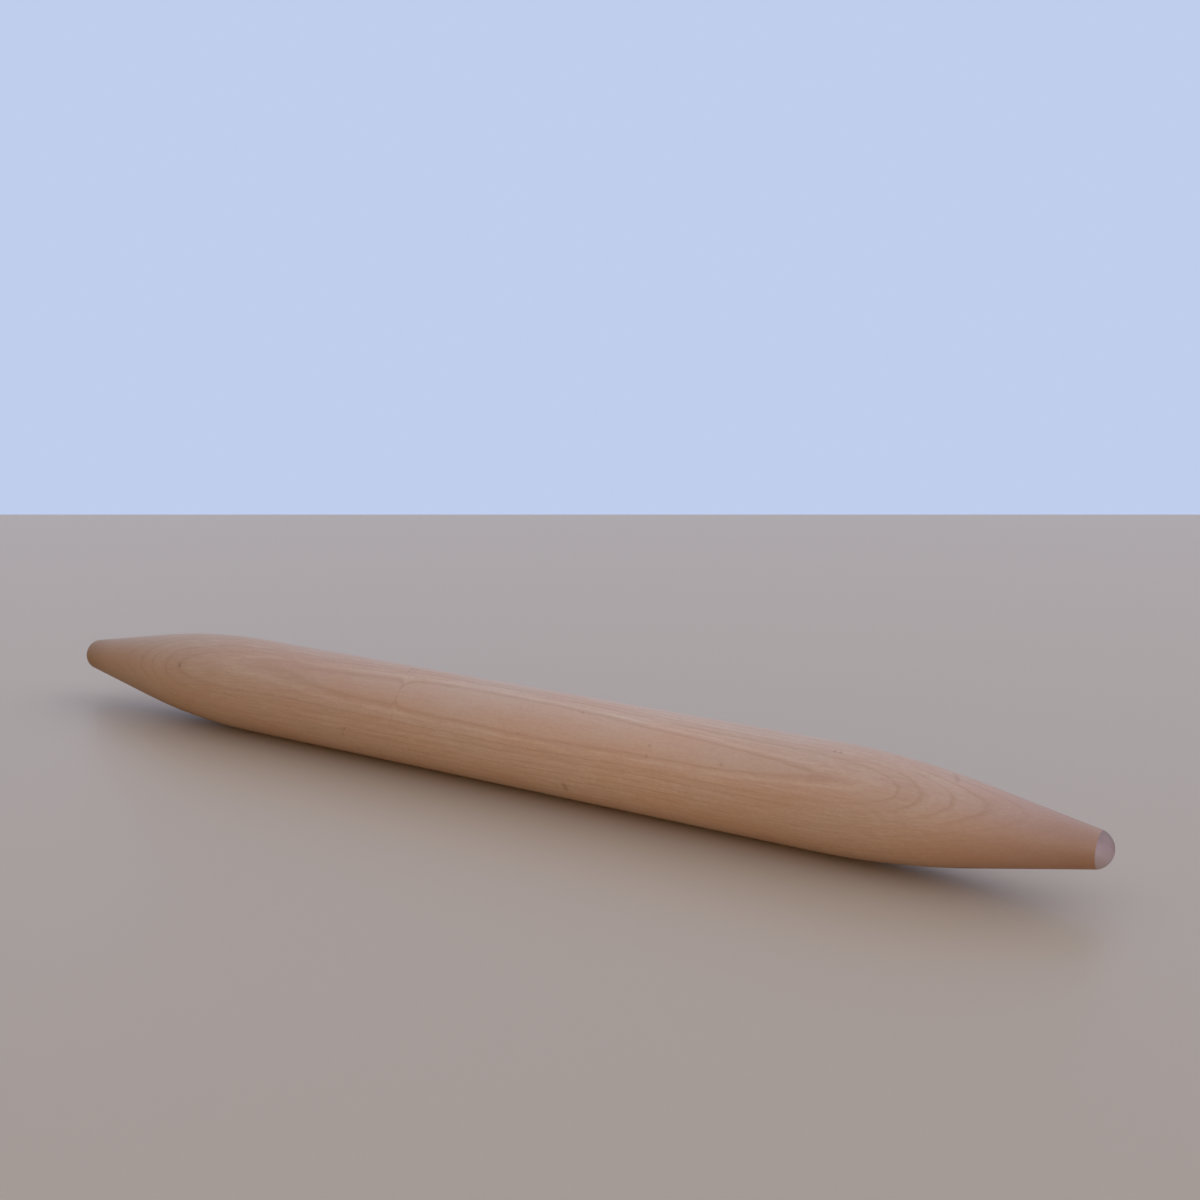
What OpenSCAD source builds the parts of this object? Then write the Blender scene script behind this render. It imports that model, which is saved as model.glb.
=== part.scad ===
// Tapered rolling pin without handles, turned from one piece of hardwood.
// Its axis lies along X, and it rests on Z = 0 with the origin under its middle. Millimetres.

/* [Pin] */
// Length over both domed ends
pin_l = 457; // [400:1:560]
// Diameter of the straight middle
barrel_d = 38.5; // [28:0.5:50]
// Length of the straight middle
barrel_l = 257; // [150:1:300]

/* [Tapers] */
// How far the eased curve reaches either way from the corner between middle and taper
ease_reach = 28.6; // [5:0.1:35]
// Diameter where each taper ends and its domed end begins
tip_d = 12.6; // [9:0.1:20]

/* [Ends] */
// Height of each domed end
dome_h = 4.3; // [1:0.1:6]

/* [Hidden] */
// Which node to draw
$fn = 180;

barrel_r = barrel_d / 2;
tip_r = tip_d / 2;

// Places along the axis: the end of the straight middle, the corner that the curve eases, the dome's edge
middle_end = barrel_l / 2;
corner = middle_end + ease_reach;
dome_start = pin_l / 2 - dome_h;

// The taper is straight, and the eased curve is an arc that touches it and the middle.
taper_a = atan2(barrel_r - tip_r, dome_start - corner);
ease_r = ease_reach / tan(taper_a / 2);

// The dome is part of a ball, and leaves a fine edge where it meets the taper.
dome_r = (tip_r * tip_r + dome_h * dome_h) / (2 * dome_h);
dome_a = asin(tip_r / dome_r);

// Steps along the eased curve and along the dome
ease_n = 12;
dome_n = 16;

// Points of the half outline, each its distance from the axis and then its place along it
function ease_point(a) = [barrel_r - ease_r * (1 - cos(a)), middle_end + ease_r * sin(a)];
function dome_point(a) = [dome_r * sin(a), pin_l / 2 - dome_r * (1 - cos(a))];
function half_outline() = concat(
  [for (i = [0:ease_n]) ease_point(taper_a * i / ease_n)],
  [for (i = [0:dome_n]) dome_point(dome_a * (dome_n - i) / dome_n)]
);

// The same points for the other half, taken from its tip back to the middle
function other_half(pts) = [for (i = [len(pts) - 1:-1:0]) [pts[i][0], -pts[i][1]]];

// The whole pin, one turned solid with both halves alike
module turned_body() {
  color([0.66, 0.54, 0.46])
    translate([0, 0, barrel_r])
      rotate([0, 90, 0])
        rotate_extrude()
          polygon(concat(half_outline(), other_half(half_outline())));
}

turned_body();
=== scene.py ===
import math

import bmesh
import bpy
from mathutils import Matrix, Vector


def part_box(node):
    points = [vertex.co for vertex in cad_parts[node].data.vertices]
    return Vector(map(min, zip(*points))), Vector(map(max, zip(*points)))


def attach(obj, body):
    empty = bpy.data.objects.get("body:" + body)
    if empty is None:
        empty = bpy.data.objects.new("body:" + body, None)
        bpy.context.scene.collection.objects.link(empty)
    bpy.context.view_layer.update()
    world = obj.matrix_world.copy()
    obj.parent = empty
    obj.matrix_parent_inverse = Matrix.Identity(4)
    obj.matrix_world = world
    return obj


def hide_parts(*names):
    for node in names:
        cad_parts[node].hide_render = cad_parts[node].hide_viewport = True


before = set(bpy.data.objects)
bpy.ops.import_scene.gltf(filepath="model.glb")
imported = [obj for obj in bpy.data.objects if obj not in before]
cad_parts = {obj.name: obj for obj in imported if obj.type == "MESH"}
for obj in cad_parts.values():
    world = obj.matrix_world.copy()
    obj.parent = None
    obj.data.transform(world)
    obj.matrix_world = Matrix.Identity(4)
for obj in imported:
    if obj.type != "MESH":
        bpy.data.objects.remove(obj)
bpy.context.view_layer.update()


# The view: a camera standing in front of the pin, to the right of its middle, and looking down at it by
# 13 degrees, so that the right end is nearer.
FRAME_WIDTH_PX = 1200
FOCAL_PX = 1775.6
SENSOR_MM = 36.0
CAMERA_PLACE = Vector((0.3675, -0.5307, 0.2258))
CAMERA_HEADING = math.radians(31.81)
CAMERA_DIP = math.radians(13.41)

camera_data = bpy.data.cameras.new("photo_camera")
camera_data.sensor_width = SENSOR_MM
camera_data.lens = SENSOR_MM * FOCAL_PX / FRAME_WIDTH_PX
camera = bpy.data.objects.new("photo_camera", camera_data)
camera.location = CAMERA_PLACE
camera.rotation_euler = (math.pi / 2 - CAMERA_DIP, 0, CAMERA_HEADING)
bpy.context.scene.collection.objects.link(camera)
bpy.context.scene.camera = camera


# The pin, one length of flat-sawn hard maple turned between centres and sanded along the grain.
# Its middle is straight, each end eases into a straight taper, and a small domed end is left
# where the turner parts it off.
pin_low, pin_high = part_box("turned_body")
PIN_LENGTH = pin_high.x - pin_low.x
BARREL_RADIUS = (pin_high.z - pin_low.z) / 2
AXIS_HEIGHT = pin_low.z + BARREL_RADIUS
BARREL_LENGTH = 0.257
EASE_REACH = 0.0286
TIP_RADIUS = 0.0063
DOME_HEIGHT = 0.0043
ROUND_STEPS = 192
EASE_STEPS = 28
DOME_STEPS = 20
STRAIGHT_CUTS = 9
SAME_PLACE = 1e-6

middle_end = BARREL_LENGTH / 2
dome_start = PIN_LENGTH / 2 - DOME_HEIGHT
taper_angle = math.atan2(BARREL_RADIUS - TIP_RADIUS, dome_start - middle_end - EASE_REACH)
ease_radius = EASE_REACH / math.tan(taper_angle / 2)
dome_radius = (TIP_RADIUS**2 + DOME_HEIGHT**2) / (2 * DOME_HEIGHT)
dome_angle = math.asin(TIP_RADIUS / dome_radius)

# The upper outline of the right half, mirrored to the left and spun round the axis.
bm = bmesh.new()
ease_start = bm.verts.new((middle_end, 0, AXIS_HEIGHT + BARREL_RADIUS))
ease_end = bmesh.ops.spin(
    bm,
    geom=[ease_start],
    cent=(middle_end, 0, AXIS_HEIGHT + BARREL_RADIUS - ease_radius),
    axis=(0, 1, 0),
    angle=taper_angle,
    steps=EASE_STEPS,
)["geom_last"][0]
tip = bm.verts.new((PIN_LENGTH / 2, 0, AXIS_HEIGHT))
dome_edge = bmesh.ops.spin(
    bm,
    geom=[tip],
    cent=(PIN_LENGTH / 2 - dome_radius, 0, AXIS_HEIGHT),
    axis=(0, 1, 0),
    angle=-dome_angle,
    steps=DOME_STEPS,
)["geom_last"][0]
middle = bm.verts.new((0, 0, AXIS_HEIGHT + BARREL_RADIUS))
straights = [bm.edges.new((middle, ease_start)), bm.edges.new((ease_end, dome_edge))]
bmesh.ops.subdivide_edges(bm, edges=straights, cuts=STRAIGHT_CUTS)
bmesh.ops.mirror(bm, geom=bm.verts[:] + bm.edges[:], axis="X", merge_dist=SAME_PLACE)
bmesh.ops.spin(
    bm,
    geom=bm.verts[:] + bm.edges[:],
    cent=(0, 0, AXIS_HEIGHT),
    axis=(1, 0, 0),
    angle=2 * math.pi,
    steps=ROUND_STEPS,
    use_merge=True,
)
bmesh.ops.remove_doubles(bm, verts=bm.verts[:], dist=SAME_PLACE)
bmesh.ops.recalc_face_normals(bm, faces=bm.faces[:])
for face in bm.faces:
    face.smooth = True
# The fine edge round each domed end stays sharp.
for edge in bm.edges:
    edge.smooth = not all(abs(abs(v.co.x) - dome_start) < SAME_PLACE for v in edge.verts)
pin_mesh = bpy.data.meshes.new("turned_pin")
bm.to_mesh(pin_mesh)
bm.free()
pin = bpy.data.objects.new("turned_pin", pin_mesh)
bpy.context.scene.collection.objects.link(pin)


def linear(hex_colour):
    """The linear colour of an sRGB hex value such as C9A58A, with an alpha of 1."""
    parts = [int(hex_colour[i : i + 2], 16) / 255 for i in (0, 2, 4)]
    return [c / 12.92 if c <= 0.04045 else ((c + 0.055) / 1.055) ** 2.4 for c in parts] + [1.0]


def add(tree, kind, links=None, points=(), handle="AUTO_CLAMPED", **settings):
    """Adds a node. links gives each input, by its name or number, a value or another node's output, and
    points gives a colour ramp or a curve its stops, each a place and a colour or a height."""
    node = tree.nodes.new(kind)
    for name, value in settings.items():
        setattr(node, name, value)
    for name, value in (links or {}).items():
        if isinstance(value, bpy.types.NodeSocket):
            tree.links.new(value, node.inputs[name])
        else:
            node.inputs[name].default_value = value
    if kind == "ShaderNodeValToRGB":
        for _ in points[2:]:
            node.color_ramp.elements.new(0.5)
        for stop, (spot, colour) in zip(node.color_ramp.elements, points):
            stop.position, stop.color = spot, colour
    if kind == "ShaderNodeFloatCurve":
        for _ in points[2:]:
            node.mapping.curves[0].points.new(0.5, 0.5)
        for stop, spot_and_height in zip(node.mapping.curves[0].points, points):
            stop.location, stop.handle_type = spot_and_height, handle
        node.mapping.update()
    return node


# Hard maple: pale pinkish tan, close-grained, with a soft brown line where each year's growth ends.
# Sanded along the grain and left bare, so it has a dull sheen and no gloss.
MM = 1000.0
maple = bpy.data.materials.new("sanded_hard_maple")
maple.use_nodes = True
tree = maple.node_tree
tree.nodes.clear()

# The place inside the wood in millimetres from the pin's middle: the pattern is solid, as real grain is.
place = add(
    tree,
    "ShaderNodeVectorMath",
    {0: add(tree, "ShaderNodeTexCoord").outputs["Object"], 1: (MM, MM, MM), 2: (0, 0, -AXIS_HEIGHT * MM)},
    operation="MULTIPLY_ADD",
).outputs[0]
along, level, upright = add(tree, "ShaderNodeSeparateXYZ", {0: place}).outputs[:]
share = add(
    tree, "ShaderNodeMath", {0: along, 1: 1 / (PIN_LENGTH * MM), 2: 0.5}, operation="MULTIPLY_ADD"
).outputs[0]

# The board was sawn nearly flat to the rings, and its face looks up and to the front. These curves hold
# what changes along the pin: the least and the most that each may be, then its height by share of the
# pin's length, from the left end.
CURVES = {
    # How the face turns, in degrees above level.
    "face_turn": (20, 65, [
        (0.0, 25), (0.09, 25), (0.147, 27.6), (0.2, 34), (0.33, 42), (0.45, 46), (0.55, 45), (0.6, 43.8),
        (0.67, 41.5), (0.79, 40), (0.866, 42), (0.889, 45), (0.914, 49), (0.94, 54), (1.0, 60),
    ]),
    # How far out the strongest ring lies on the face, in radii of the barrel.
    "strong_ring": (0.9, 1.25, [
        (0.0, 1.22), (0.1, 1.14), (0.154, 1.09), (0.2, 1.06), (0.22, 1.047), (0.242, 1.033), (0.25, 1.025),
        (0.26, 1.02), (0.27, 1.014), (0.28, 1.008), (0.294, 0.997), (0.315, 0.985), (0.335, 0.975),
        (0.37, 0.966), (0.392, 0.961), (0.412, 0.947), (0.45, 0.936), (0.5, 0.931), (0.545, 0.934),
        (0.595, 0.9465), (0.645, 0.9665), (0.675, 0.974), (0.695, 0.983), (0.725, 1.004), (0.753, 1.03),
        (0.771, 1.05), (0.784, 1.066), (0.79, 1.084), (0.8, 1.087), (0.809, 1.071), (0.82, 1.04),
        (0.83, 1.004), (0.853, 0.954), (0.88, 0.95), (1.0, 0.95),
    ]),
    # How far out the next ring in lies, in the same measure.
    "next_ring": (0.78, 1.14, [
        (0.0, 1.13), (0.072, 1.06), (0.099, 1.025), (0.115, 0.99), (0.135, 0.9545), (0.154, 0.923),
        (0.167, 0.925), (0.2, 0.923), (0.242, 0.894), (0.294, 0.879), (0.33, 0.857), (0.39, 0.83),
        (0.45, 0.81), (0.5, 0.811), (0.545, 0.822), (0.595, 0.8425), (0.645, 0.872), (0.695, 0.8805),
        (0.725, 0.885), (0.8, 0.9), (0.85, 0.9155), (0.867, 0.9304), (0.89, 0.933), (0.914, 0.91),
        (0.94, 0.894), (1.0, 0.89),
    ]),
    # Towards its left tip the strong ring is tilted against the others, so that the tip lies higher.
    "tip_tilt": (0.0, 0.25, [
        (0.0, 0.0), (0.17, 0.1), (0.24, 0.22), (0.294, 0.1), (0.335, 0.03), (0.36, 0.0), (1.0, 0.0),
    ]),
    # Towards its right tip the middle of the face is a ridge in the rings, so that the strong ring ends in
    # a point there. This is the ridge's height in millimetres.
    "ridge": (0.0, 1.5, [(0.0, 0.0), (0.45, 0.0), (0.6, 1.5), (0.8, 1.5), (0.84, 0.0), (1.0, 0.0)]),
    # How wide the years are inside the next ring: all are narrower towards the right end.
    "year_spread": (0.7, 1.1, [
        (0.0, 1.0), (0.25, 1.0), (0.33, 0.96), (0.45, 1.04), (0.5, 1.04), (0.545, 0.97), (0.595, 0.9),
        (0.645, 0.85), (0.7, 0.86), (0.8, 0.8), (1.0, 0.8),
    ]),
    # How strongly the rings show: they fade towards both ends.
    "ring_fade": (0.0, 1.5, [
        (0.0, 0.1), (0.07, 0.5), (0.1, 0.95), (0.15, 1.05), (0.18, 0.9), (0.22, 0.7), (0.3, 0.8),
        (0.36, 1.05), (0.65, 1.05), (0.76, 1.0), (0.8, 0.9), (0.83, 0.75), (0.865, 1.4), (0.89, 1.4),
        (0.915, 1.0), (0.94, 0.6), (0.97, 0.2), (1.0, 0.0),
    ]),
    # On the lower side they fade away from the middle as well.
    "lower_fade": (0.0, 1.0, [
        (0.0, 0.3), (0.12, 0.4), (0.22, 0.6), (0.32, 0.95), (0.4, 1.0), (0.6, 1.0), (0.7, 0.85),
        (0.78, 0.5), (1.0, 0.2),
    ]),
    # The streaks show less on the steep tapers, where the fibres are cut short.
    "streak_fade": (0.0, 1.0, [(0.0, 0.4), (0.12, 0.55), (0.2, 1.0), (0.82, 1.0), (0.9, 0.5), (1.0, 0.4)]),
}
along_pin = {}
for name, (least, most, heights) in CURVES.items():
    shares = [(spot, (height - least) / (most - least)) for spot, height in heights]
    curve = add(tree, "ShaderNodeFloatCurve", {"Value": share}, points=shares)
    along_pin[name] = add(
        tree,
        "ShaderNodeMapRange",
        {"Value": curve.outputs[0], "To Min": least, "To Max": most},
        clamp=False,
    ).outputs[0]

# depth is measured square to the rings, outwards from the pin's axis to the face, and side along them.
turn = add(tree, "ShaderNodeMath", {0: along_pin["face_turn"]}, operation="RADIANS").outputs[0]
turn_cos = add(tree, "ShaderNodeMath", {0: turn}, operation="COSINE").outputs[0]
turn_sin = add(tree, "ShaderNodeMath", {0: turn}, operation="SINE").outputs[0]
forward = add(tree, "ShaderNodeMath", {0: level, 1: turn_cos}, operation="MULTIPLY").outputs[0]
depth = add(tree, "ShaderNodeMath", {0: upright, 1: turn_sin}, operation="MULTIPLY").outputs[0]
depth = add(tree, "ShaderNodeMath", {0: depth, 1: forward}, operation="SUBTRACT").outputs[0]
side = add(tree, "ShaderNodeMath", {0: level, 1: turn_sin}, operation="MULTIPLY").outputs[0]
side = add(tree, "ShaderNodeMath", {0: upright, 1: turn_cos, 2: side}, operation="MULTIPLY_ADD").outputs[0]

# The rings wander slowly, over about 70 mm, and waver finely, over about 7 mm, so no line looks drawn.
# For each: its sizes along, level and upright, its detail, and its reach to either side.
WANDERS = [((70, 22, 22), 1.0, 0.3), ((7, 3, 3), 2.0, 0.15)]
for size_mm, detail, reach_mm in WANDERS:
    spot = add(tree, "ShaderNodeMapping", {"Vector": place, "Scale": [1 / s for s in size_mm]}).outputs[0]
    noise = add(tree, "ShaderNodeTexNoise", {"Vector": spot, "Scale": 1.0, "Detail": detail}).outputs[0]
    wander = add(
        tree, "ShaderNodeMapRange", {"Value": noise, "To Min": -reach_mm, "To Max": reach_mm}
    ).outputs[0]
    depth = add(tree, "ShaderNodeMath", {0: depth, 1: wander}, operation="ADD").outputs[0]
fine_wander = wander

RIDGE_HALF_MM = 5.0
ridge = add(tree, "ShaderNodeMath", {0: side}, operation="ABSOLUTE").outputs[0]
ridge = add(
    tree, "ShaderNodeMapRange", {"Value": ridge, "From Max": RIDGE_HALF_MM, "To Min": 1.0, "To Max": 0.0}
).outputs[0]
depth = add(
    tree, "ShaderNodeMath", {0: ridge, 1: along_pin["ridge"], 2: depth}, operation="MULTIPLY_ADD"
).outputs[0]

# Years are counted from the strong ring, which is 0. Outside the next ring, -1, they are even.
LEAST_GAP_MM = 0.8
strong_mm = add(
    tree, "ShaderNodeMath", {0: along_pin["strong_ring"], 1: BARREL_RADIUS * MM}, operation="MULTIPLY"
).outputs[0]
tip_tilt = add(tree, "ShaderNodeMath", {0: along_pin["tip_tilt"], 1: side}, operation="MULTIPLY").outputs[0]
strong_mm = add(tree, "ShaderNodeMath", {0: strong_mm, 1: tip_tilt}, operation="SUBTRACT").outputs[0]
next_mm = add(
    tree, "ShaderNodeMath", {0: along_pin["next_ring"], 1: BARREL_RADIUS * MM}, operation="MULTIPLY"
).outputs[0]
gap_mm = add(tree, "ShaderNodeMath", {0: strong_mm, 1: next_mm}, operation="SUBTRACT").outputs[0]
gap_mm = add(tree, "ShaderNodeMath", {0: gap_mm, 1: LEAST_GAP_MM}, operation="MAXIMUM").outputs[0]
past_next = add(tree, "ShaderNodeMath", {0: depth, 1: next_mm}, operation="SUBTRACT").outputs[0]
outer_mm = add(tree, "ShaderNodeMath", {0: past_next, 1: 0.0}, operation="MAXIMUM").outputs[0]
outer_years = add(tree, "ShaderNodeMath", {0: outer_mm, 1: gap_mm}, operation="DIVIDE").outputs[0]

# Inside it the years have their own widths, in millimetres, from the next ring inwards and right
# through to the far side.
YEAR_WIDTHS_MM = [1.55, 2.05, 1.9, 2.5, 2.5, 2.7, 2.6, 2.9, 2.8, 3.0, 2.7, 3.1, 2.9, 3.0, 3.2]
YEARS = len(YEAR_WIDTHS_MM)
far_mm = sum(YEAR_WIDTHS_MM)
past_next = add(
    tree, "ShaderNodeMath", {0: past_next, 1: along_pin["year_spread"]}, operation="DIVIDE"
).outputs[0]
inner_share = add(
    tree, "ShaderNodeMapRange", {"Value": past_next, "From Min": -far_mm, "From Max": 0.0}
).outputs[0]
reached_mm = 0.0
ring_places = [(0.0, 0.0)]
for number, width_mm in enumerate(reversed(YEAR_WIDTHS_MM), 1):
    reached_mm += width_mm
    ring_places.append((reached_mm / far_mm, number / YEARS))
inner = add(
    tree, "ShaderNodeFloatCurve", {"Value": inner_share}, points=ring_places, handle="VECTOR"
).outputs[0]
year = add(
    tree, "ShaderNodeMath", {0: inner, 1: YEARS, 2: -1.0 - YEARS}, operation="MULTIPLY_ADD"
).outputs[0]
year = add(tree, "ShaderNodeMath", {0: year, 1: outer_years}, operation="ADD").outputs[0]
# The strong ring is the last that the face cuts, so the count stops short of the next one out.
LAST_YEAR = 0.45
year = add(tree, "ShaderNodeMath", {0: year, 1: LAST_YEAR}, operation="MINIMUM").outputs[0]

# A pinch runs right across the face, where the growth was once disturbed. The rings bulge out along it,
# so the strong ring's two sides dip towards each other there, the upper one further. The bulge falls
# off to its left and right, and begins half a year inside the strong ring.
PINCH_PLACE_MM = -44.4
PINCH_WAVER = 4.0
PINCH_LEFT_MM = 1.0
PINCH_RIGHT_MM = 2.3
PINCH_HALF_MM = 5.0
PINCH_YEARS = (0.21, 0.36)
PINCH_START = -0.5
off_pinch = add(
    tree, "ShaderNodeMath", {0: fine_wander, 1: PINCH_WAVER, 2: -PINCH_PLACE_MM}, operation="MULTIPLY_ADD"
).outputs[0]
off_pinch = add(tree, "ShaderNodeMath", {0: along, 1: off_pinch}, operation="ADD").outputs[0]
to_right = add(
    tree, "ShaderNodeMath", {0: off_pinch, 1: -1 / PINCH_RIGHT_MM}, operation="MULTIPLY"
).outputs[0]
to_left = add(
    tree, "ShaderNodeMath", {0: off_pinch, 1: 1 / PINCH_LEFT_MM}, operation="MULTIPLY"
).outputs[0]
bulge = add(tree, "ShaderNodeMath", {0: to_right, 1: to_left}, operation="MINIMUM").outputs[0]
bulge = add(tree, "ShaderNodeMath", {0: bulge}, operation="EXPONENT").outputs[0]
pinch_years = add(
    tree,
    "ShaderNodeMapRange",
    {
        "Value": side,
        "From Min": -PINCH_HALF_MM,
        "From Max": PINCH_HALF_MM,
        "To Min": -PINCH_YEARS[0],
        "To Max": -PINCH_YEARS[1],
    },
).outputs[0]
face_share = add(
    tree,
    "ShaderNodeMapRange",
    {"Value": year, "From Min": PINCH_START, "From Max": 0.0, "To Max": pinch_years},
    interpolation_type="SMOOTHSTEP",
).outputs[0]
year = add(tree, "ShaderNodeMath", {0: bulge, 1: face_share, 2: year}, operation="MULTIPLY_ADD").outputs[0]

# A fine dark line lies in the pinch. Its half width is in millimetres, and its depths, where it starts
# and where it is full, are in radii of the barrel.
PINCH_LINE_MM = (0.2, 0.7)
PINCH_LINE_TONE = -0.17
PINCH_LINE_DEPTHS = (0.6, 0.9)
pinch_line = add(tree, "ShaderNodeMath", {0: off_pinch}, operation="ABSOLUTE").outputs[0]
pinch_line = add(
    tree,
    "ShaderNodeMapRange",
    {
        "Value": pinch_line,
        "From Min": PINCH_LINE_MM[0],
        "From Max": PINCH_LINE_MM[1],
        "To Min": PINCH_LINE_TONE,
        "To Max": 0.0,
    },
    interpolation_type="SMOOTHSTEP",
).outputs[0]
line_start, line_full = [radii * BARREL_RADIUS * MM for radii in PINCH_LINE_DEPTHS]
pinch_reach = add(
    tree,
    "ShaderNodeMapRange",
    {"Value": depth, "From Min": line_start, "From Max": line_full},
    interpolation_type="SMOOTHSTEP",
).outputs[0]
pinch_line = add(tree, "ShaderNodeMath", {0: pinch_line, 1: pinch_reach}, operation="MULTIPLY").outputs[0]

# Each ring is a brown line, sharp on its outer side and fading inwards, with a paler band inside it.
# The ramp holds, in red and green, how far the line and the band reach from half a year inside the
# ring to half a year outside it.
RING_SHAPE = [
    (0.0, 0.0, 0.0), (0.06, 0.0, 0.6), (0.12, 0.0, 1.0), (0.19, 0.0, 0.95), (0.26, 0.05, 0.5),
    (0.32, 0.18, 0.15), (0.38, 0.45, 0.0), (0.44, 0.85, 0.0), (0.485, 1.0, 0.0), (0.515, 0.95, 0.0),
    (0.55, 0.55, 0.0), (0.59, 0.12, 0.0), (0.65, 0.0, 0.0), (1.0, 0.0, 0.0),
]
# For each ring, from the face's own inwards: how dark its line, and how pale the band and the rest of
# the year inside it.
RINGS = [
    (-0.42, 0.25, 0.07), (-0.4, 0.0, -0.03), (-0.38, 0.04, 0.06), (-0.28, 0.04, 0.07), (-0.34, 0.03, 0.02),
    (-0.32, 0.05, 0.03), (-0.2, 0.05, 0.0), (-0.2, 0.05, 0.03), (-0.26, 0.06, 0.0), (-0.2, 0.04, 0.04),
    (-0.28, 0.06, 0.0), (-0.18, 0.04, 0.03), (-0.3, 0.06, 0.0), (-0.2, 0.05, 0.03), (-0.25, 0.05, 0.0),
    (-0.2, 0.04, 0.02),
]
MID_TONE = 0.5
nearest = add(tree, "ShaderNodeMath", {0: year}, operation="ROUND").outputs[0]
off_ring = add(tree, "ShaderNodeMath", {0: year, 1: nearest}, operation="SUBTRACT").outputs[0]
off_ring = add(tree, "ShaderNodeMath", {0: off_ring, 1: 0.5}, operation="ADD").outputs[0]
year_above = add(tree, "ShaderNodeMath", {0: year}, operation="CEIL").outputs[0]
ring_number = add(tree, "ShaderNodeMath", {0: nearest, 1: -len(RINGS)}, operation="DIVIDE").outputs[0]
year_number = add(tree, "ShaderNodeMath", {0: year_above, 1: -len(RINGS)}, operation="DIVIDE").outputs[0]
steps = [max(0.0, (number - 0.5) / len(RINGS)) for number in range(len(RINGS))]
shape = add(
    tree,
    "ShaderNodeValToRGB",
    {"Fac": off_ring},
    points=[(spot, (line, band, 0.0, 1.0)) for spot, line, band in RING_SHAPE],
)
of_ring = add(
    tree,
    "ShaderNodeValToRGB",
    {"Fac": ring_number},
    points=[(step, (-line, band, 0.0, 1.0)) for step, (line, band, _) in zip(steps, RINGS)],
)
of_year = add(
    tree,
    "ShaderNodeValToRGB",
    {"Fac": year_number},
    points=[(step, (MID_TONE + rest, 0.0, 0.0, 1.0)) for step, (_, _, rest) in zip(steps, RINGS)],
)
of_ring.color_ramp.interpolation = "CONSTANT"
of_year.color_ramp.interpolation = "CONSTANT"
shape = add(tree, "ShaderNodeSeparateColor", {0: shape.outputs[0]}).outputs
of_ring = add(tree, "ShaderNodeSeparateColor", {0: of_ring.outputs[0]}).outputs
of_year = add(tree, "ShaderNodeSeparateColor", {0: of_year.outputs[0]}).outputs
line = add(tree, "ShaderNodeMath", {0: shape[0], 1: of_ring[0]}, operation="MULTIPLY").outputs[0]
band = add(tree, "ShaderNodeMath", {0: shape[1], 1: of_ring[1]}, operation="MULTIPLY").outputs[0]
swing = add(tree, "ShaderNodeMath", {0: band, 1: line}, operation="SUBTRACT").outputs[0]
swing = add(tree, "ShaderNodeMath", {0: swing, 1: of_year[0]}, operation="ADD").outputs[0]
swing = add(tree, "ShaderNodeMath", {0: swing, 1: MID_TONE}, operation="SUBTRACT").outputs[0]

# The lower side's fade sets in between these places along the rings, in millimetres, and patches of
# fibre 16 mm long and 5 mm wide break the rings up.
LOWER_SIDE_MM = (-9.0, -3.0)
PATCH_MM = (16, 5, 5)
PATCH_SPAN = (0.3, 0.6)
PATCH_REACHES = (0.6, 1.15)
lower_fade = add(
    tree,
    "ShaderNodeMapRange",
    {
        "Value": side,
        "From Min": LOWER_SIDE_MM[0],
        "From Max": LOWER_SIDE_MM[1],
        "To Min": along_pin["lower_fade"],
        "To Max": 1.0,
    },
    interpolation_type="SMOOTHSTEP",
).outputs[0]
patch_place = add(tree, "ShaderNodeMapping", {"Vector": place, "Scale": [1 / s for s in PATCH_MM]}).outputs[0]
patch = add(tree, "ShaderNodeTexNoise", {"Vector": patch_place, "Scale": 1.0, "Detail": 3.0}).outputs[0]
patch = add(
    tree,
    "ShaderNodeMapRange",
    {
        "Value": patch,
        "From Min": PATCH_SPAN[0],
        "From Max": PATCH_SPAN[1],
        "To Min": PATCH_REACHES[0],
        "To Max": PATCH_REACHES[1],
    },
).outputs[0]
for reach in (along_pin["ring_fade"], lower_fade, patch):
    swing = add(tree, "ShaderNodeMath", {0: swing, 1: reach}, operation="MULTIPLY").outputs[0]
grain = add(tree, "ShaderNodeMath", {0: swing, 1: MID_TONE}, operation="ADD").outputs[0]
grain = add(tree, "ShaderNodeMath", {0: grain, 1: pinch_line}, operation="ADD").outputs[0]

# The fibres: streaks 30 mm long and 0.5 mm wide, and dashes 8 mm long and 0.9 mm wide. The rays, seen
# on end as short dashes, and from the side as flecks across the grain. Real dashes and rays are half as
# wide, and are drawn coarser so that they show. For each: its sizes along the pin, along the rings and
# square to them, its detail, the part of the noise that it takes up, and its tones.
STREAKS = [
    ("fibre", (30, 0.5, 0.5), 3.0, (0.25, 0.75), (-0.16, 0.16)),
    ("dash", (8, 0.9, 0.9), 2.0, (0.3, 0.65), (-0.18, 0.13)),
    ("ray", (1.3, 0.45, 6), 1.0, (0.56, 0.74), (0.0, -0.25)),
    ("pore", (1.6, 0.7, 0.7), 1.0, (0.3, 0.7), (-0.1, 0.1)),
]
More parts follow.
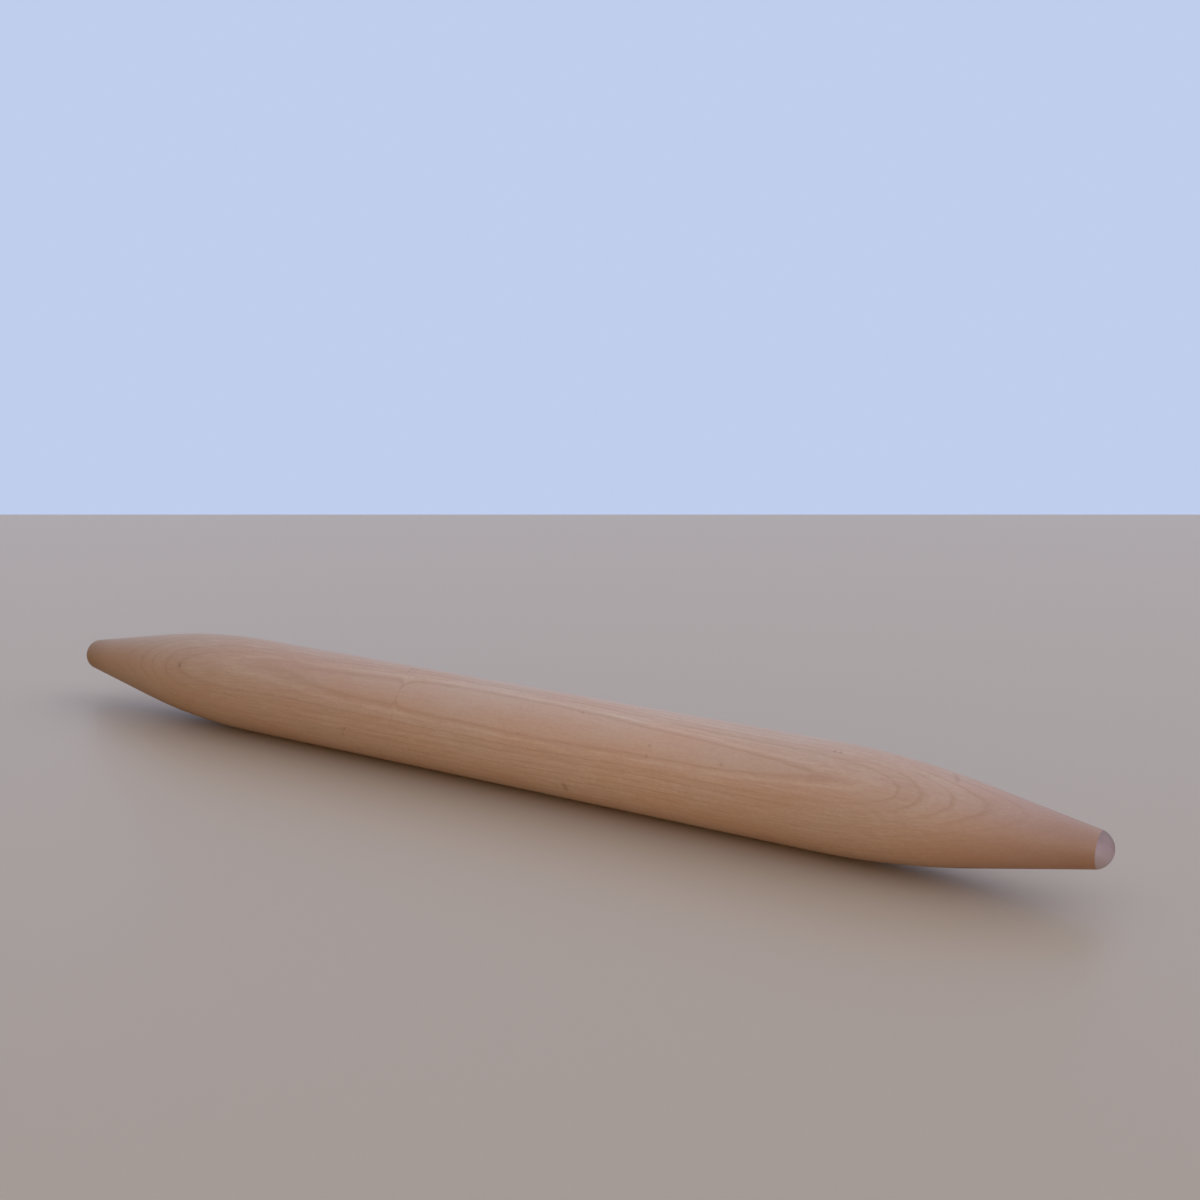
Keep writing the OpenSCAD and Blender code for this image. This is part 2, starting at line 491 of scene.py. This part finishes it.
# All but the pores are quiet on the face itself, which is reached between these two years.
FACE_YEARS = (-0.2, 0.1)
FACE_QUIET = 0.45
quiet = add(
    tree,
    "ShaderNodeMapRange",
    {
        "Value": year,
        "From Min": FACE_YEARS[0],
        "From Max": FACE_YEARS[1],
        "To Min": 1.0,
        "To Max": FACE_QUIET,
    },
).outputs[0]
quiet = add(tree, "ShaderNodeMath", {0: quiet, 1: along_pin["streak_fade"]}, operation="MULTIPLY").outputs[0]
ring_place = add(tree, "ShaderNodeCombineXYZ", {"X": along, "Y": side, "Z": depth}).outputs[0]
for name, size_mm, detail, noise_span, tone_span in STREAKS:
    spot = add(
        tree, "ShaderNodeMapping", {"Vector": ring_place, "Scale": [1 / s for s in size_mm]}
    ).outputs[0]
    noise = add(tree, "ShaderNodeTexNoise", {"Vector": spot, "Scale": 1.0, "Detail": detail}).outputs[0]
    tone = add(
        tree,
        "ShaderNodeMapRange",
        {
            "Value": noise,
            "From Min": noise_span[0],
            "From Max": noise_span[1],
            "To Min": tone_span[0],
            "To Max": tone_span[1],
        },
    ).outputs[0]
    reach = 1.0 if name == "pore" else quiet
    grain = add(tree, "ShaderNodeMath", {0: tone, 1: reach, 2: grain}, operation="MULTIPLY_ADD").outputs[0]
    if name == "fibre":
        fibre = noise

WOOD_COLOURS = [(0.0, "B99271"), (0.5, "C49E80"), (1.0, "CEAE90")]
marked = add(
    tree,
    "ShaderNodeValToRGB",
    {"Fac": grain},
    points=[(spot, linear(colour)) for spot, colour in WOOD_COLOURS],
).outputs[0]

# Small brown marks that were in the wood: where each is, its half sizes, both in millimetres along,
# level and upright, and how dark. Each is full to 0.3 of its half size and gone at 1.1.
MARK_COLOUR = "7A4022"
MARK_EDGE = (0.3, 1.1)
MARKS = [
    ((-158.3, -15.7, 8.1), (1.4, 1.2, 1.2), 0.4),
    ((-67.8, -18.9, -3.5), (0.7, 0.6, 0.7), 0.45),
    ((-69.2, -18.1, -6.5), (0.9, 1.6, 3.2), 0.14),
    ((-60.0, -18.0, 6.9), (0.8, 0.6, 0.6), 0.18),
    ((-37.0, -18.1, -6.6), (0.7, 1.6, 3.2), 0.1),
    ((13.9, -17.6, 7.7), (0.7, 0.6, 0.6), 0.25),
    ((10.9, -11.3, 15.6), (0.7, 0.6, 0.6), 0.15),
    ((33.6, -16.7, -9.6), (1.5, 2.0, 3.4), 0.3),
    ((36.3, -8.7, 17.2), (1.0, 0.8, 0.6), 0.25),
    ((68.2, -15.2, 11.9), (0.6, 0.9, 1.1), 0.32),
    ((68.2, -17.3, 8.4), (0.6, 0.8, 1.2), 0.32),
    ((97.3, -16.3, 10.2), (1.3, 0.8, 0.8), 0.2),
    ((134.6, -5.2, 18.5), (0.8, 1.0, 0.8), 0.35),
    ((136.8, -5.2, 18.4), (0.8, 1.0, 0.8), 0.3),
    ((174.9, 1.0, 15.4), (1.2, 1.9, 1.2), 0.2),
    ((176.1, -0.8, 15.4), (1.3, 1.9, 1.2), 0.2),
    ((177.0, -2.4, 15.3), (1.2, 1.7, 1.2), 0.22),
    ((134.5, -14.9, 11.6), (6.5, 2.4, 2.8), 0.1),
    ((-48.2, 0.0, 19.2), (0.8, 1.9, 0.8), 0.22),
    ((-47.3, -3.4, 18.9), (0.8, 1.9, 0.9), 0.22),
    ((-45.0, -1.0, 19.2), (0.7, 1.9, 0.8), 0.18),
]
for where, half_sizes, darkness in MARKS:
    off_mark = add(
        tree,
        "ShaderNodeVectorMath",
        {0: place, 1: [1 / h for h in half_sizes], 2: [-w / h for w, h in zip(where, half_sizes)]},
        operation="MULTIPLY_ADD",
    ).outputs[0]
    off_mark = add(tree, "ShaderNodeVectorMath", {0: off_mark}, operation="LENGTH").outputs["Value"]
    dark_share = add(
        tree,
        "ShaderNodeMapRange",
        {
            "Value": off_mark,
            "From Min": MARK_EDGE[0],
            "From Max": MARK_EDGE[1],
            "To Min": darkness,
            "To Max": 0.0,
        },
        interpolation_type="SMOOTHSTEP",
    ).outputs[0]
    marked = add(
        tree, "ShaderNodeMix", {"Factor": dark_share, 6: marked, 7: linear(MARK_COLOUR)}, data_type="RGBA"
    ).outputs[2]

# Painted light and shade along the length: the wood is brightest just right of the middle, where the light
# falls most, and darker and browner towards both ends, the left end more so. The left tip is darkest, as
# painted shade where it faces away from the light, and the right end is painted a little cooler, as lit from
# the right. Part of the darkening on the tapers is the wood's own, where they cut across the fibres.
FALLOFF_AND_END_TINTS = [
    (0.015, "C0B292"), (0.04, "D5CCB7"), (0.12, "E2DED1"), (0.28, "EBE7E2"), (0.5, "F9F9F8"),
    (0.65, "FFFFFF"), (0.8, "F7F7F7"), (0.88, "F1EFF0"), (0.94, "E2DCE1"), (0.98, "D4C6C1"),
]
falloff_and_end_tint = add(
    tree,
    "ShaderNodeValToRGB",
    {"Fac": share},
    points=[(spot, linear(colour)) for spot, colour in FALLOFF_AND_END_TINTS],
).outputs[0]
# Multiplies this painted light and shade, with the ends' own darkening, into the wood's colour.
toned = add(
    tree,
    "ShaderNodeMix",
    {"Factor": 1.0, 6: marked, 7: falloff_and_end_tint},
    data_type="RGBA",
    blend_type="MULTIPLY",
).outputs[2]

# Slow drifts along the length, over about 45 mm, from the wood's pinker tan to a yellower one.
DRIFT_MM = (45, 14, 14)
DRIFT_SPAN = (0.35, 0.65)
YELLOW_TINT = "FFF6EE"
drift_place = add(tree, "ShaderNodeMapping", {"Vector": place, "Scale": [1 / s for s in DRIFT_MM]}).outputs[0]
drift = add(tree, "ShaderNodeTexNoise", {"Vector": drift_place, "Scale": 1.0, "Detail": 2.0}).outputs[0]
drift_share = add(
    tree,
    "ShaderNodeMapRange",
    {"Value": drift, "From Min": DRIFT_SPAN[0], "From Max": DRIFT_SPAN[1], "To Max": 1.0},
).outputs[0]
tinted = add(
    tree,
    "ShaderNodeMix",
    {"Factor": drift_share, 6: toned, 7: linear(YELLOW_TINT)},
    data_type="RGBA",
    blend_type="MULTIPLY",
).outputs[2]

# The right domed end is end grain, greyer and cooler than the wood beside it: partly its own tone, and partly
# painted cool light from the right on its front. Painted shade makes it redder and darker up and behind its
# tip, where it turns away from the light. Its tones run between these two places, in millimetres, with level
# counted for less than upright.
RIGHT_END_GRAIN_AND_SHADE = [(0.0, "AB979B"), (0.36, "9E8585"), (0.62, "8C706B"), (1.0, "7E6154")]
END_SPAN_MM = (-4.0, 5.0)
END_LEVEL_SHARE = 0.8
END_EDGE_MM = 0.15
on_right = add(
    tree,
    "ShaderNodeMapRange",
    {
        "Value": along,
        "From Min": dome_start * MM - END_EDGE_MM,
        "From Max": dome_start * MM + END_EDGE_MM,
    },
).outputs[0]
limb_shade_share = add(
    tree, "ShaderNodeMath", {0: level, 1: END_LEVEL_SHARE, 2: upright}, operation="MULTIPLY_ADD"
).outputs[0]
limb_shade_share = add(
    tree, "ShaderNodeMapRange", {"Value": limb_shade_share, "From Min": END_SPAN_MM[0], "From Max": END_SPAN_MM[1]}
).outputs[0]
end_grain_and_shade = add(
    tree,
    "ShaderNodeValToRGB",
    {"Fac": limb_shade_share},
    points=[(spot, linear(colour)) for spot, colour in RIGHT_END_GRAIN_AND_SHADE],
).outputs[0]
# Lays the end grain, with its painted cool light and painted shade, over the right dome.
tinted = add(
    tree, "ShaderNodeMix", {"Factor": on_right, 6: tinted, 7: end_grain_and_shade}, data_type="RGBA"
).outputs[2]

# The dull sheen of bare sanded maple, broken a little by its raised fibres. Their rise is in metres.
ROUGHNESS = 0.5
FIBRE_RISE = 0.00005
FIBRE_STRENGTH = 0.2
bump = add(
    tree, "ShaderNodeBump", {"Height": fibre, "Strength": FIBRE_STRENGTH, "Distance": FIBRE_RISE}
).outputs[0]
shader = add(
    tree, "ShaderNodeBsdfPrincipled", {"Base Color": tinted, "Roughness": ROUGHNESS, "Normal": bump}
).outputs[0]
add(tree, "ShaderNodeOutputMaterial", {"Surface": shader})
pin.data.materials.append(maple)

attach(pin, "root")
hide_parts("turned_body")


# A plain pale floor of matt paint, wide enough that its sides never show. Its far edge is square to the
# camera's view, so that it lies level in the picture, 1.2 m from the camera.
FLOOR_HALF = 60.0
FLOOR_EDGE = 1.2
FLOOR_COLOUR = "B59E83"
FLOOR_ROUGHNESS = 0.4
bm = bmesh.new()
bmesh.ops.create_grid(bm, x_segments=1, y_segments=1, size=FLOOR_HALF)
bmesh.ops.translate(bm, verts=bm.verts, vec=(0, FLOOR_EDGE - FLOOR_HALF, 0))
bmesh.ops.rotate(bm, verts=bm.verts, cent=(0, 0, 0), matrix=Matrix.Rotation(CAMERA_HEADING, 3, "Z"))
bmesh.ops.translate(bm, verts=bm.verts, vec=(CAMERA_PLACE.x, CAMERA_PLACE.y, 0))
floor_mesh = bpy.data.meshes.new("floor")
bm.to_mesh(floor_mesh)
bm.free()
floor = bpy.data.objects.new("floor", floor_mesh)
bpy.context.scene.collection.objects.link(floor)
floor_paint = bpy.data.materials.new("pale_matt_floor")
floor_paint.use_nodes = True
floor_shader = floor_paint.node_tree.nodes["Principled BSDF"]
floor_shader.inputs["Base Color"].default_value = linear(FLOOR_COLOUR)
floor_shader.inputs["Roughness"].default_value = FLOOR_ROUGHNESS
floor.data.materials.append(floor_paint)


# Plain soft studio light: wide lamps overhead, behind, to the right and in front. The pale background
# is seen by the camera and in gloss, and gives no light of its own.
BACKGROUND = "BFCEED"
world = bpy.data.worlds.new("studio")
bpy.context.scene.world = world
world.use_nodes = True
background = world.node_tree.nodes["Background"]
background.inputs["Color"].default_value = linear(BACKGROUND)
sight = add(world.node_tree, "ShaderNodeLightPath").outputs
seen = add(
    world.node_tree,
    "ShaderNodeMath",
    {0: sight["Is Camera Ray"], 1: sight["Is Glossy Ray"]},
    operation="MAXIMUM",
).outputs[0]
world.node_tree.links.new(seen, background.inputs["Strength"])

# Each lamp: its name, degrees above level, degrees to the right of straight behind, width in degrees,
# strength and colour.
LAMPS = [
    ("overhead_lamp", 90, 0, 120, 2.33, "D3DFFF"),
    ("back_lamp", 25, 0, 60, 0.16, "E2EFFF"),
    ("right_lamp", 30, 90, 60, 0.96, "E2EFFF"),
    ("front_lamp", 4, 180, 50, 1.56, "FFECCF"),
]
for name, rise_angle, round_angle, width, power, colour in LAMPS:
    lamp_data = bpy.data.lights.new(name, "SUN")
    lamp_data.angle = math.radians(width)
    lamp_data.energy = power
    lamp_data.color = linear(colour)[:3]
    lamp = bpy.data.objects.new(name, lamp_data)
    heading = math.radians(round_angle) - CAMERA_HEADING
    climb = math.radians(rise_angle)
    towards = Vector(
        (math.cos(climb) * math.sin(heading), math.cos(climb) * math.cos(heading), math.sin(climb))
    )
    lamp.rotation_euler = towards.to_track_quat("Z", "Y").to_euler()
    bpy.context.scene.collection.objects.link(lamp)

bpy.context.scene.view_settings.view_transform = "Standard"
